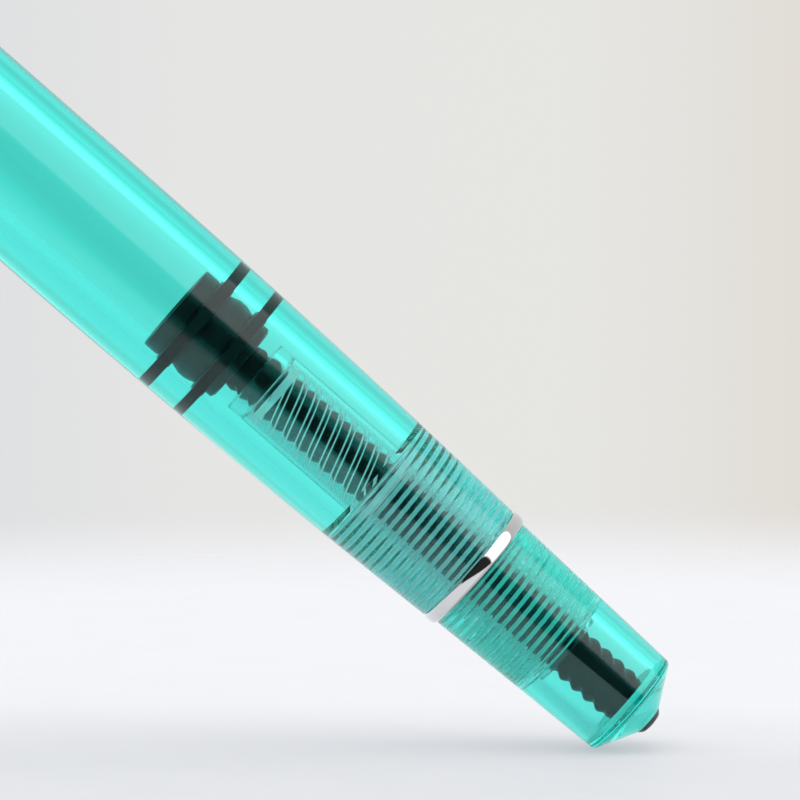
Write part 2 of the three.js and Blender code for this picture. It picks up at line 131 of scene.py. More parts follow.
def path(*corners, steps=5):
    """Rows of a profile through corners (radius, z) or (radius, z, fillet). The ends stay sharp."""
    rows = []
    for i, (radius, z, *fillet) in enumerate(corners):
        if not fillet or i in (0, len(corners) - 1):
            rows.append((radius, z, 0.0, 1.0, 1))
            continue
        here = Vector((radius, z))
        before = Vector(corners[i - 1][:2]) - here
        after = Vector(corners[i + 1][:2]) - here
        setback = fillet[0] / math.tan(before.angle(after) / 2)
        start = here + before.normalized() * min(setback, before.length * 0.5)
        end = here + after.normalized() * min(setback, after.length * 0.5)
        for k in range(steps + 1):
            t = k / steps
            point = start * (1 - t) ** 2 + here * 2 * t * (1 - t) + end * t ** 2
            rows.append((point.x, point.y, 0.0, 1.0, 1))
    return rows


def thread(radius, start, end, pitch, depth, starts=1, samples=18):
    """Rows of a right-hand thread from z = start to z = end, fading in and out over half a pitch."""
    count = max(4, round(abs(end - start) / pitch * samples))
    fade = samples / 2
    return [
        (
            radius,
            start + (end - start) * i / count,
            depth / 2 * min(1, i / fade, (count - i) / fade),
            pitch,
            starts,
        )
        for i in range(count + 1)
    ]


# ---------------------------------------------------------------- meshes
def finished(name, bm, material, body, *nodes, sided=False, lining=None, crisp=SMOOTH_ANGLE):
    """A smooth-shaded object from a bmesh, with its faces pointing out, riding on a body in place of nodes.

    sided writes on each face which side it's on: 0 outside, 1 a bore or an end, 2 the flank of an inner
    thread that faces up. lining, where it's given, is the material of such flanks, whether they face
    up or down.
    """
    if bm.calc_volume(signed=True) < 0:
        bmesh.ops.reverse_faces(bm, faces=bm.faces)
    if sided or lining:
        bm.normal_update()
        layer = bm.faces.layers.float.new(SIDE)
        for face in bm.faces:
            outward = Vector((*face.calc_center_median().xy, 0)).normalized()
            lean = abs(face.normal.z) if lining else face.normal.z
            if face.normal.dot(outward) > OUTSIDE:
                face[layer] = 0
            elif FLANK_SLOPE < lean < END_SLOPE:
                face[layer] = 2
            else:
                face[layer] = 1
            face.material_index = 1 if lining and face[layer] == 2 else 0
    mesh = bpy.data.meshes.new(name)
    bm.to_mesh(mesh)
    bm.free()
    mesh.shade_smooth()
    mesh.set_sharp_from_angle(angle=crisp)
    mesh.materials.append(material)
    if lining:
        mesh.materials.append(lining)
    piece = bpy.data.objects.new(name, mesh)
    bpy.context.scene.collection.objects.link(piece)
    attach(piece, body)
    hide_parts(*nodes)
    return piece


def surface(rings, closed):
    """A bmesh through rings of points, in millimetres. A ring of one point closes an end."""
    bm = bmesh.new()
    loops = [[bm.verts.new(Vector(p) * MM) for p in ring] for ring in rings]
    pairs = list(zip(loops, loops[1:] + loops[:1])) if closed else list(zip(loops, loops[1:]))
    for low, high in pairs:
        n = max(len(low), len(high))
        for i in range(n):
            j = (i + 1) % n
            corners = []
            for v in (low[i % len(low)], low[j % len(low)], high[j % len(high)], high[i % len(high)]):
                if v not in corners:
                    corners.append(v)
            bm.faces.new(corners)
    return bm


def turned(rows, segments=SEGMENTS, wave=rounded_wave, flat=None, lead=None):
    """A bmesh turned about Z from profile rows.

    flat cuts two flats at y = -flat and y = flat. lead twists the mesh, so its columns follow a thread.
    """
    rings = []
    for radius, z, amplitude, pitch, starts in rows:
        if radius == 0:
            rings.append([(0, 0, z)])
            continue
        turns = np.arange(segments) / segments + (z / lead if lead else 0)
        angle = 2 * math.pi * turns
        r = radius + amplitude * wave(z / pitch - starts * turns) if amplitude else radius + 0 * turns
        x, y = r * np.cos(angle), r * np.sin(angle)
        if flat:
            y = np.clip(y, -flat, flat)
        rings.append(list(zip(x, y, np.full(segments, z))))
    on_axis = rows[0][0] == 0 and rows[-1][0] == 0
    return surface(rings, closed=not on_axis)


def ring(body, node, inner, fillet, material):
    """A plain ring with rounded outer edges, as wide and as long as its CAD node."""
    outer, rear, front = extent(node)
    rows = path((inner, rear), (outer, rear, fillet), (outer, front, fillet), (inner, front))
    return finished(node + "_look", turned(rows), material, body, node)


# ---------------------------------------------------------------- materials
class Shader:
    """A node material built round one Principled BSDF."""

    def __init__(self, name):
        self.material = bpy.data.materials.new(name)
        self.material.use_nodes = True
        self.tree = self.material.node_tree
        self.bsdf = self.tree.nodes["Principled BSDF"]
        self.position = self.tree.nodes.new("ShaderNodeTexCoord").outputs["Object"]

    def node(self, kind, **inputs):
        made = self.tree.nodes.new(kind)
        for key, value in inputs.items():
            self.feed(made.inputs[key.replace("_", " ")], value)
        return made

    def feed(self, socket, value):
        if isinstance(value, bpy.types.NodeSocket):
            self.tree.links.new(value, socket)
        else:
            socket.default_value = value

    def set(self, **inputs):
        for key, value in inputs.items():
            self.feed(self.bsdf.inputs[key.replace("_", " ")], value)

    def noise(self, per_mm, detail=3.0, stretch=(1, 1, 1)):
        """A fractal value from 0 to 1 with about per_mm features to the millimetre."""
        scaled = self.node("ShaderNodeMapping", Vector=self.position, Scale=Vector(stretch) / MM)
        made = self.node("ShaderNodeTexNoise", Vector=scaled.outputs[0], Scale=per_mm, Detail=detail)
        return made.outputs[0]

    def between(self, value, low, high, start=0.3, end=0.7):
        """value from start to end, mapped to low to high."""
        made = self.node("ShaderNodeMapRange")
        for index, v in enumerate((value, start, end, low, high)):
            self.feed(made.inputs[index], v)
        return made.outputs[0]

    def combine(self, operation, first, second):
        made = self.node("ShaderNodeMath")
        made.operation = operation
        self.feed(made.inputs[0], first)
        self.feed(made.inputs[1], second)
        return made

    def band(self, height, below, low, high, above):
        """1 where height is from low to high, fading to 0 at below and above, all in millimetres."""
        top = self.between(height, 1.0, 0.0, high * MM, above * MM)
        bottom = self.between(height, 0.0, 1.0, below * MM, low * MM)
        return self.combine("MULTIPLY", top, bottom).outputs[0]

    def tint(self, value, first, second):
        """A colour between two colours."""
        made = self.node("ShaderNodeMix")
        made.data_type = "RGBA"
        self.feed(made.inputs[0], value)
        for index, color in ((6, first), (7, second)):
            linked = isinstance(color, bpy.types.NodeSocket)
            self.feed(made.inputs[index], color if linked else (*color, 1))
        return made.outputs[2]

    def bump(self, height, depth_mm, strength=1.0):
        made = self.node("ShaderNodeBump", Height=height, Distance=depth_mm * MM, Strength=strength)
        self.set(Normal=made.outputs[0])


def clear_plastic(name, tint, deep, roughness=0.02, waviness=0.002):
    """Transparent plastic whose tint and polish drift a little, as moulded and polished plastic does."""
    s = Shader(name)
    drift = s.noise(0.12, detail=2.0, stretch=(1, 1, 0.4))
    s.set(
        Base_Color=s.tint(drift, tint, deep),
        Transmission_Weight=1.0,
        IOR=ACRYLIC_IOR,
        Roughness=s.between(s.noise(2.5), roughness * 0.3, roughness),
    )
    s.bump(s.noise(0.5, detail=1.0, stretch=(1, 1, 0.25)), waviness)
    return s.material


def teal_plastic():
    """Tinted acrylic. Its outside has most of the colour, its depth adds some, and its threads are hazy."""
    s = Shader("teal_plastic")
    side = s.node("ShaderNodeAttribute")
    side.attribute_name = SIDE
    inside = s.between(side.outputs["Fac"], 0.0, 1.0, 0.4, 0.6)
    flank = s.between(side.outputs["Fac"], 0.0, 1.0, 1.4, 1.6)
    drift = s.noise(0.12, detail=2.0, stretch=(1, 1, 0.4))
    height = s.node("ShaderNodeSeparateXYZ", Vector=s.position).outputs[2]
    housing = s.band(
        height, BARREL_REAR - 1.2, BARREL_REAR, GUIDE_FLANGE_FRONT - 0.2, GUIDE_FLANGE_FRONT + 0.6
    )
    solid_end = s.band(height, 1.9, 2.3, 2.55, 2.85)
    outside = s.tint(drift, (0.213, 0.985, 0.88), (0.19, 0.975, 0.865))
    # Over the guide's housing the outside is painted greyer: a painted reflection of the light the threads
    # there mix in.
    outside = s.tint(housing, outside, (0.28, 0.90, 0.86))
    outside = s.tint(solid_end, outside, (0.08, 0.96, 0.86))
    bore = s.tint(flank, (0.97, 1.0, 1.0), s.tint(housing, (0.50, 0.96, 0.91), (0.94, 0.96, 0.96)))
    s.set(
        Base_Color=s.tint(inside, outside, bore),
        Transmission_Weight=s.between(flank, 1.0, 0.34, 0.0, 1.0),
        IOR=s.between(flank, ACRYLIC_IOR, FLANK_IOR, 0.0, 1.0),
        Roughness=s.between(flank, s.between(s.noise(2.5), 0.006, 0.02), 0.10, 0.0, 1.0),
    )
    s.bump(s.noise(0.5, detail=1.0, stretch=(1, 1, 0.25)), 0.002)
    depth = s.node("ShaderNodeVolumeAbsorption", Color=(0.0, 0.97, 0.96, 1), Density=0.15 / MM)
    output = s.tree.nodes["Material Output"]
    s.feed(output.inputs["Volume"], depth.outputs[0])
    return s.material


def metal(name, color, roughness, grain, grain_stretch=(1, 1, 1), grain_depth=0.0004):
    s = Shader(name)
    wear = s.noise(1.2)
    s.set(
        Base_Color=s.tint(wear, color, tuple(0.94 * c for c in color)),
        Metallic=1.0,
        Roughness=s.between(s.noise(grain, stretch=grain_stretch), roughness * 0.6, roughness * 1.4),
    )
    s.bump(s.noise(grain, stretch=grain_stretch), grain_depth)
    return s.material


def opaque(name, color, lighter, roughness, grain=6.0, depth=0.006, specular=0.5, glow=0.0):
    s = Shader(name)
    s.set(
        Base_Color=s.tint(s.noise(0.8), color, lighter),
        Emission_Strength=glow,
        Roughness=s.between(s.noise(2.0), roughness * 0.75, roughness * 1.25),
        Specular_IOR_Level=specular,
    )
    s.bump(s.noise(grain, detail=4.0), depth)
    return s.material


TEAL = teal_plastic()
GUIDE = clear_plastic("guide_plastic", (0.86, 0.90, 0.90), (0.82, 0.88, 0.88), roughness=0.05)
LINER = clear_plastic("liner_plastic", (0.90, 0.97, 0.96), (0.87, 0.96, 0.95), roughness=0.06)
# Pale plastic for the sleeve's groove flanks, glowing faintly: its colour and glow are a painted highlight.
PAINTED_HIGHLIGHT_FLANK = opaque("painted_highlight_plastic", (0.80, 0.92, 0.90), (0.88, 0.97, 0.96), 0.5, glow=0.40)
BLACK = opaque(
    "black_plastic", (0.005, 0.008, 0.008), (0.009, 0.013, 0.013), 0.34, depth=0.003, specular=0.12
)
RUBBER = opaque(
    "seal_rubber", (0.006, 0.006, 0.006), (0.012, 0.012, 0.012), 0.5, grain=9.0, specular=0.3
)
JEWEL = opaque("jewel", (0.028, 0.035, 0.037), (0.05, 0.06, 0.062), 0.12, depth=0.001)
CHROME = metal("chrome_trim", (0.90, 0.90, 0.91), 0.05, 3.0)
STEEL = metal("nib_steel", (0.78, 0.78, 0.79), 0.16, 12.0, grain_stretch=(1, 1, 0.06))


# ---------------------------------------------------------------- barrel
def barrel_radius(z):
    """The outside swells as a parabola from the tail ring to its widest place."""
    widest = 64.0
    rear_radius = RING_R - 0.09
    swell = (BARREL_R - rear_radius) / (widest - BARREL_REAR) ** 2
    return BARREL_R - swell * (widest - min(z, widest)) ** 2


def make_barrel():
    outside = [(barrel_radius(z), z) for z in np.linspace(BARREL_REAR + 0.3, 64, 26)]
    rows = path(
        (REAR_THREAD_R + 0.2, BARREL_REAR),
        (barrel_radius(BARREL_REAR), BARREL_REAR, 0.12),
        *outside,
        (BARREL_R, BARREL_SHOULDER, 0.3),
        (CAP_THREAD_R + 0.1, BARREL_SHOULDER + 0.6, 0.1),
        (CAP_THREAD_R, BARREL_SHOULDER + 0.9),
    )
    rows += thread(CAP_THREAD_R, BARREL_SHOULDER + 1.0, BARREL_FRONT - 1.0, CAP_PITCH, 0.26, CAP_STARTS)
    rows += path(
        (CAP_THREAD_R, BARREL_FRONT - 0.9),
        (CAP_THREAD_R - 0.05, BARREL_FRONT, 0.2),
        (FRONT_THREAD_R + 0.05, BARREL_FRONT, 0.1),
        (FRONT_THREAD_R + 0.05, BARREL_FRONT - 1.2),
    )
    rows += thread(FRONT_THREAD_R + 0.05, BARREL_FRONT - 1.3, SECTION_REAR + 2.6, FINE_PITCH, 0.2)
    rows += path(
        (FRONT_THREAD_R + 0.02, SECTION_REAR + 2.5),
        (FRONT_THREAD_R + 0.02, SECTION_REAR - 0.1),
        (CHAMBER_R, SECTION_REAR - 0.3, 0.1),
        (CHAMBER_R, GUIDE_FLANGE_FRONT + 0.55),
        (CHAMBER_R, GUIDE_FLANGE_FRONT + 0.5),
        (REAR_THREAD_R + 0.1, GUIDE_FLANGE_FRONT + 0.15),
        (REAR_THREAD_R + 0.1, GUIDE_FLANGE_FRONT),
    )
    rows += thread(
        REAR_THREAD_R + 0.1,
        GUIDE_FLANGE_FRONT - 0.05,
        BARREL_REAR + 0.1,
        FINE_PITCH,
        FINE_DEPTH,
        samples=FINE_SAMPLES,
    )
    bm = turned(rows, THREAD_SEGMENTS)
    return finished("barrel_look", bm, TEAL, "pen", "barrel", sided=True, crisp=THREAD_SMOOTH_ANGLE)


# ---------------------------------------------------------------- tail: knob, jewel and ring
def make_knob():
    """Its bore has a thread, a relief and a blind end. A socket in its cone takes the jewel's stud."""
    socket = 0.4
    socket_end = KNOB_REAR + 0.3
    tip_radius = JEWEL_R
    rim = KNOB_REAR + 1.85
    end_radius = 4.64
    bore = 3.3
    bore_end = 2.75
    thread_radius = KNOB_THREAD_R + 0.08
    relief = KNOB_THREAD_R + 0.28
    thread_end = 9.9
    rows = path(
        (0, socket_end),
        (socket, socket_end),
        (socket, KNOB_REAR),
        (tip_radius, KNOB_REAR, 0.04),
        (end_radius, rim, 0.42),
        (KNOB_R, KNOB_FRONT, 0.12),
        (KNOB_THREAD_R + 0.3, KNOB_FRONT, 0.15),
        (thread_radius, KNOB_FRONT - 0.3),
        steps=8,
    )
    thread_start = KNOB_FRONT - 0.32
    rows += thread(
        thread_radius, thread_start, thread_end + 0.5, FINE_PITCH, FINE_DEPTH, samples=FINE_SAMPLES
    )
    rows += path(
        (thread_radius, thread_end + 0.45),
        (relief, thread_end + 0.4, 0.04),
        (relief, thread_end, 0.04),
        (bore, thread_end, 0.2),
        (bore, bore_end, 0.5),
        (0, bore_end),
        steps=6,
    )
    bm = turned(rows, THREAD_SEGMENTS)
    return finished(
        "turning_knob_look", bm, TEAL, "knob", "turning_knob", sided=True, crisp=THREAD_SMOOTH_ANGLE
    )


def jewel(body, node, radius, tip, stud, stud_radius):
    """A blunt dome with a small flat, on a stud. It points from the stud's end to the tip."""
    direction = 1 if stud > tip else -1
    height = 0.46 if direction > 0 else 0.6
    base = tip + direction * height
    flat = 0.35
    rows = path(
        (0, tip),
        (flat, tip, 0.1),
        (flat + (radius - flat) * 0.62, tip + (base - tip) * 0.28, 0.5),
        (radius - 0.03, base, 0.04),
        (stud_radius, base + direction * 0.02),
        (stud_radius, stud),
        (0, stud),
        steps=8,
    )
    return finished(node + "_look", turned(rows, SMALL_SEGMENTS), JEWEL, body, node)


def make_tail_ring():
    """Its outside is a barrelled chrome band, a little proud of the knob and the barrel."""
    middle = (RING_REAR + RING_FRONT) / 2
    half = (RING_FRONT - RING_REAR) / 2
    bulge = 0.2
    inner, rear_inner, step = 4.55, 4.95, 19.06
    rows = path((inner, RING_FRONT), (RING_R - bulge, RING_FRONT))
    for angle in np.linspace(70, -70, 19):
        a = math.radians(angle)
        rows += path((RING_R - bulge + bulge * math.cos(a), middle + half * math.sin(a) * 0.99))
    rows += path((RING_R - bulge, RING_REAR), (rear_inner, RING_REAR), (rear_inner, step), (inner, step))
    return finished("tail_ring_look", turned(rows), CHROME, "pen", "tail_ring")


# ---------------------------------------------------------------- filling mechanism
def make_guide():
    """A housing with a thread for the knob and one for the barrel, and a tube in front of its flange."""
    knob_end = RING_REAR + 0.03
    knob_thread = KNOB_THREAD_R - 0.06
    barrel_thread = REAR_THREAD_R - 0.02
    neck, neck_rear = 4.5, 19.0
    groove, groove_rear, groove_front = GUIDE_TUBE_R - 0.07, 41.2, 41.49
    key = ROD_R + 0.12
    rows = path(
        (GUIDE_BORE_R, GUIDE_REAR),
        (KNOB_THREAD_R - 0.1, GUIDE_REAR, 0.1),
        (knob_thread, GUIDE_REAR + 0.3),
    )
    rows += thread(knob_thread, GUIDE_REAR + 0.32, knob_end - 0.5, FINE_PITCH, SHALLOW_DEPTH)
    rows += path(
        (KNOB_THREAD_R - 0.25, knob_end - 0.45),
        (KNOB_THREAD_R - 0.25, knob_end),
        (GUIDE_R, knob_end),
        (GUIDE_R, neck_rear),
        (neck, neck_rear),
        (neck, BARREL_REAR + 0.1),
        (REAR_THREAD_R, BARREL_REAR + 0.25),
    )
    rows += thread(barrel_thread, BARREL_REAR + 0.3, GUIDE_FLANGE_FRONT - 0.25, FINE_PITCH, SHALLOW_DEPTH)
    rows += path(
        (barrel_thread, GUIDE_FLANGE_FRONT - 0.2),
        (barrel_thread, GUIDE_FLANGE_FRONT, 0.12),
        (GUIDE_TUBE_R, GUIDE_FLANGE_FRONT, 0.3),
        (GUIDE_TUBE_R, groove_rear, 0.05),
        (groove, groove_rear + 0.07, 0.03),
        (groove, groove_front - 0.07, 0.03),
        (GUIDE_TUBE_R, groove_front, 0.05),
        (GUIDE_TUBE_R, GUIDE_FRONT, 0.2),
        (key, GUIDE_FRONT, 0.06),
        (key, GUIDE_FRONT - 1.4, 0.06),
        (GUIDE_BORE_R, GUIDE_FRONT - 1.48, 0.06),
    )
    bm = turned(rows, THREAD_SEGMENTS)
    return finished("piston_guide_look", bm, GUIDE, "pen", "piston_guide", crisp=THREAD_SMOOTH_ANGLE)


def make_sleeve():
    """A tube with a flange in the knob. Near its front its groove flanks glow pale, painted highlights as
    pairs of helical lines.
    """
    tube = GUIDE_BORE_R - 0.07
    flange_rear, flange_front = 9.25, 9.82
    land, depth = ROD_R + 0.1, 0.11
    bore = land + 0.1
    rows = path(
        (bore, flange_rear + 0.3),
        (bore, flange_rear),
        (SLEEVE_R, flange_rear, 0.16),
        (SLEEVE_R, flange_front, 0.16),
        (tube, flange_front, 0.05),
        *[(tube, z) for z in np.linspace(flange_front + 0.2, SLEEVE_FRONT - 0.3, 160)],
        (tube, SLEEVE_FRONT, 0.1),
        (bore, SLEEVE_FRONT),
        (bore, SLEEVE_FRONT - 0.3),
    )
    thread_start, thread_end = SLEEVE_FRONT - 0.35, GUIDE_FLANGE_FRONT - 1.0
    rows += thread(land + depth / 2, thread_start, thread_end, ROD_PITCH, depth, ROD_STARTS, samples=8)
    rows += path(*[(bore, z) for z in np.linspace(thread_end - 0.1, flange_rear + 0.4, 110)])
    columns = ROD_STARTS * 26
    bm = turned(rows, columns, wave=groove_wave, lead=ROD_PITCH * ROD_STARTS)
    return finished("drive_sleeve_look", bm, GUIDE, "knob", "drive_sleeve", lining=PAINTED_HIGHLIGHT_FLANK)


def make_rod():
    """A four-start screw with two flats, which keep it from turning in the guide."""
    flat = 1.45
    root = ROD_R - 0.16
    rows = path((0, ROD_REAR), (root - 0.1, ROD_REAR, 0.12), (root - 0.05, ROD_REAR + 0.3))
    rows += thread(root, ROD_REAR + 0.35, ROD_FRONT - 3.6, ROD_PITCH, 0.32, ROD_STARTS)
    rows += path((root, ROD_FRONT - 3.5), (root - 0.1, ROD_FRONT - 3.35), (0, ROD_FRONT - 3.35))
    shaft = turned(rows, 160, wave=rounded_wave, flat=flat)
    return finished("piston_rod_look", shaft, BLACK, "piston", "piston_rod")


def make_piston_head():
    """A plug with two grooves for the seals. Its rear half is narrower."""
    groove, waist = 3.05, 3.55
    rows = path(
        (0, HEAD_REAR - 0.04),
        (3.2, HEAD_REAR - 0.04, 0.06),
        (waist, HEAD_REAR + 0.14, 0.12),
        (waist, REAR_SEAL_REAR - 0.04, 0.06),
        (groove, REAR_SEAL_REAR - 0.04),
        (groove, REAR_SEAL_FRONT + 0.04),
        (waist, REAR_SEAL_FRONT + 0.04, 0.06),
        (3.72, REAR_SEAL_FRONT + 0.5, 0.25),
        (HEAD_R - 0.03, REAR_SEAL_FRONT + 0.9, 0.3),
        (HEAD_R - 0.03, FRONT_SEAL_REAR - 0.9, 0.3),
        (waist, FRONT_SEAL_REAR - 0.04, 0.06),
        (groove, FRONT_SEAL_REAR - 0.04),
        (groove, FRONT_SEAL_FRONT + 0.04),
        (HEAD_R - 0.1, FRONT_SEAL_FRONT + 0.04, 0.06),
        (HEAD_R, FRONT_SEAL_FRONT + 0.25, 0.1),
        (HEAD_R, HEAD_FRONT, 0.14),
        (2.1, HEAD_FRONT, 0.1),
        (1.7, HEAD_FRONT - 0.5, 0.1),
        (0, HEAD_FRONT - 0.5),
    )
    return finished("piston_head_look", turned(rows), BLACK, "piston", "piston_head")


def make_piston_seal(node, rear, front):
    """A lip seal, pressed by its crown on the chamber's wall."""
    crown = CHAMBER_R + 0.03
    inner = 3.1
    rows = path(
        (inner, rear),
        (crown - 0.16, rear, 0.05),
        (crown, rear + 0.12, 0.08),
        (crown, front - 0.12, 0.08),
        (crown - 0.16, front, 0.05),
        (inner, front),
    )
    return finished(node + "_look", turned(rows), RUBBER, "piston", node)


# ---------------------------------------------------------------- section and nib unit
def make_section():
    tenon, groove = FRONT_THREAD_R - 0.05, 4.15
    shoulder = 86.5
    waist_depth, waist_length = 0.82, 13.9
    feed_bore, collar_bore, collar_bore_end = 3.05, 4.0, 88.0
    rows = path(
        (feed_bore, SECTION_REAR),
        (tenon, SECTION_REAR, 0.15),
        (tenon, SECTION_SEAL_REAR - 0.04, 0.03),
        (groove, SECTION_SEAL_REAR - 0.04),
        (groove, SECTION_SEAL_FRONT + 0.04),
        (tenon, SECTION_SEAL_FRONT + 0.04, 0.03),
        (tenon, SECTION_SEAL_FRONT + 0.6),
    )
    rows += thread(tenon, SECTION_SEAL_FRONT + 0.62, shoulder - 1.0, FINE_PITCH, 0.2)
    rows += path(
        (tenon, shoulder - 0.9),
        (tenon, shoulder),
        (SECTION_R, shoulder, 0.18),
        *[
            (SECTION_R - waist_depth * math.sin(math.pi / 2 * t) ** 1.6, shoulder + 0.6 + waist_length * t)
            for t in np.linspace(0, 1, 12)
        ],
        (4.8, 101.6),
        (4.86, 102.8),
        (5.02, 104.4),
        (5.15, SECTION_FRONT - 0.35, 0.2),
        (5.08, SECTION_FRONT, 0.08),
        (collar_bore, SECTION_FRONT),
        (collar_bore, collar_bore_end),
        (feed_bore, collar_bore_end, 0.1),
    )
    return finished("section_look", turned(rows), TEAL, "pen", "section", sided=True)


def make_collar():
    bore = 3.36
    rows = path(
        (bore, COLLAR_REAR),
        (COLLAR_R, COLLAR_REAR, 0.15),
        (COLLAR_R, COLLAR_FRONT - 0.25),
        (COLLAR_R - 0.1, COLLAR_FRONT, 0.08),
        (bore, COLLAR_FRONT, 0.05),
    )
    return finished("nib_collar_look", turned(rows), BLACK, "pen", "nib_collar")


NIB_SHOULDER = 109.5  # where the nib starts to narrow and to droop
NIB_POINT = NIB_FRONT - 0.6  # where it stops
NIB_THICKNESS = 0.34
NIB_DROOP = 2.35


def droop(z):
    """How far the nib's centre line has moved from the axis towards +Y."""
    t = max(0.0, (z - NIB_SHOULDER) / (NIB_POINT - NIB_SHOULDER))
    return NIB_DROOP * t ** 1.35


def make_feed():
    """A black feed whose underside, away from the nib, has a comb of fins."""
    nib_inside = NIB_R - NIB_THICKNESS - 0.06
    fins_from, fins_to, fin_pitch = 108.6, 116.4, 0.62
    outline = [
        (FEED_REAR, 2.2), (88.0, 2.2), (88.25, FEED_R), (108.0, FEED_R), (110.5, 2.78), (112.5, 2.6),
        (114.5, 2.36), (116.5, 2.06), (118.5, 1.72), (120.5, 1.32), (122.2, 0.92), (FEED_FRONT, 0.5),
    ]
    stations = sorted({z for z, _ in outline} | set(np.arange(fins_from, fins_to, fin_pitch / 8)))
    zs, radii = zip(*outline)
    rings = []
    angle = 2 * math.pi * np.arange(SMALL_SEGMENTS) / SMALL_SEGMENTS
    for z in stations:
        radius = float(np.interp(z, zs, radii))
        offset = droop(z) - (nib_inside - radius) if z > 108 else 0.0
        in_fins = fins_from < z < fins_to
        cut = 0.42 if in_fins and math.sin(2 * math.pi * (z - fins_from) / fin_pitch) < 0 else 0.0
        under = np.clip((np.sin(angle) + 0.25) * 3, 0, 1)  # 1 on the underside, 0 beside the nib
        r = radius - cut * under
        rings.append([(r_i * math.cos(a), offset + r_i * math.sin(a), z) for r_i, a in zip(r, angle)])
    start = [(0, 0, stations[0])]
    end = [(0, rings[-1][0][1], stations[-1])]
    return finished("feed_look", surface([start, *rings, end], closed=False), BLACK, "pen", "feed")


def nib_wrap(z):
    """Half of the nib's wrap round its centre line, in degrees."""
    if z < NIB_SHOULDER:
        return 100.0
    t = min(1.0, (z - NIB_SHOULDER) / (NIB_POINT - NIB_SHOULDER))
    return 100 * (1 - t) ** 0.8 * (1 - 0.35 * t) + 6


def make_nib():
    """Two tines with a slit between them, from a breather hole to a ball of tipping at the point."""
    end = NIB_FRONT - 0.45
    hole_z, hole_radius, slit = 117.6, 0.7, 0.05
    across = 28
    stations = [NIB_REAR, 98, 104, 107, *np.linspace(NIB_SHOULDER, end, 56)]
    bm = bmesh.new()
    for side in (-1, 1):
        rings = []
        for z in stations:
            wrap = math.radians(nib_wrap(z))
            ahead = z - hole_z
            gap = math.sqrt(max(0.0, hole_radius ** 2 - ahead ** 2)) if abs(ahead) < hole_radius else 0.0
            gap = max(gap, slit if ahead > 0 else 0.0)
            first = min(gap / NIB_R, wrap * 0.8)
            spread = [first + (wrap - first) * k / across for k in range(across + 1)]
            angles = [-math.pi / 2 + side * a for a in spread]
            centre = droop(z)
            outer = [(NIB_R * math.cos(a), centre + NIB_R * math.sin(a), z) for a in angles]
            inside = NIB_R - NIB_THICKNESS
            inner = [(inside * math.cos(a), centre + inside * math.sin(a), z) for a in reversed(angles)]
            rings.append(outer + inner)
        half = surface(rings, closed=False)
        for z in (stations[0], stations[-1]):
            half.faces.new([v for v in half.verts if abs(v.co.z - z * MM) < 1e-9])
        bmesh.ops.recalc_face_normals(half, faces=half.faces)
        part = bpy.data.meshes.new("nib_half")
        half.to_mesh(part)
        half.free()
        bm.from_mesh(part)
        bpy.data.meshes.remove(part)
    for side in (-1, 1):
        place = Matrix.Translation(Vector((side * 0.2, droop(end) - NIB_R + 0.28, end + 0.02)) * MM)
        shape = Matrix.Diagonal((0.2 * MM, 0.34 * MM, 0.42 * MM, 1))
        bmesh.ops.create_uvsphere(bm, u_segments=24, v_segments=16, radius=1.0, matrix=place @ shape)
    return finished("nib_look", bm, STEEL, "pen", "nib")


# ---------------------------------------------------------------- cap
def cap_radius(z):
    """The cap narrows from lip to top along a shallow curve."""
    lip_radius, top_radius = 7.2, 6.55
    t = max(0.0, (z - LIP_REAR) / (CAP_FRONT - LIP_REAR))
    return lip_radius - (lip_radius - top_radius) * t ** 1.6


def make_cap_tube():
    bore, upper_bore, step = 6.12, 5.92, 104.4
    lip_radius, screw_hole = 7.2, 2.2
    floor = cap_radius(BAND_REAR) - 0.35
    rows = path(
        (bore + 0.06, CAP_REAR, 0.05),
        (lip_radius, CAP_REAR, 0.05),
        (lip_radius, BAND_REAR - 0.04, 0.05),
        (floor, BAND_REAR - 0.04),
        (floor, BAND_FRONT + 0.04),
        (cap_radius(BAND_FRONT), BAND_FRONT + 0.04, 0.05),
        *[(cap_radius(z), z) for z in np.linspace(BAND_FRONT + 1, CAP_FRONT - 0.5, 24)],
        (cap_radius(CAP_FRONT), CAP_FRONT, 0.1),
        (screw_hole, CAP_FRONT),
        (screw_hole, LINER_FRONT + 0.1),
        (upper_bore, LINER_FRONT + 0.1),
        (upper_bore, step, 0.05),
        (bore, step - 0.3, 0.05),
        (bore, 84.6),
    )
    rows += thread(bore, 84.5, CAP_REAR + 0.6, CAP_PITCH, 0.2, CAP_STARTS)
    rows.append((bore + 0.06, CAP_REAR + 0.4, 0.0, 1.0, 1))
    rows.append(rows.pop(0))
    return finished("cap_tube_look", turned(rows), TEAL, "cap", "cap_tube", sided=True)


def make_cap_band():
    """A chrome band with two fine engraved lines."""
    inner = 6.9
    groove, half = 0.06, 0.09
    lines = []
    for z in (BAND_REAR + 0.75, BAND_FRONT - 0.75):
        lines += [(BAND_R, z - half), (BAND_R - groove, z - half / 2)]
        lines += [(BAND_R - groove, z + half / 2), (BAND_R, z + half)]
    rows = path(
        (inner, BAND_REAR),
        (BAND_R, BAND_REAR, 0.1),
        *lines,
        (BAND_R, BAND_FRONT, 0.1),
        (inner, BAND_FRONT),
    )
    return finished("cap_band_look", turned(rows), CHROME, "cap", "cap_band")


def make_lip_ring():
    inner = 6.2
    rows = path(
        (inner, LIP_REAR, 0.1),
        (LIP_R, LIP_REAR, 0.32),
        (LIP_R, LIP_FRONT, 0.06),
        (inner, LIP_FRONT),
        steps=8,
    )
    return finished("cap_lip_ring_look", turned(rows), CHROME, "cap", "cap_lip_ring")


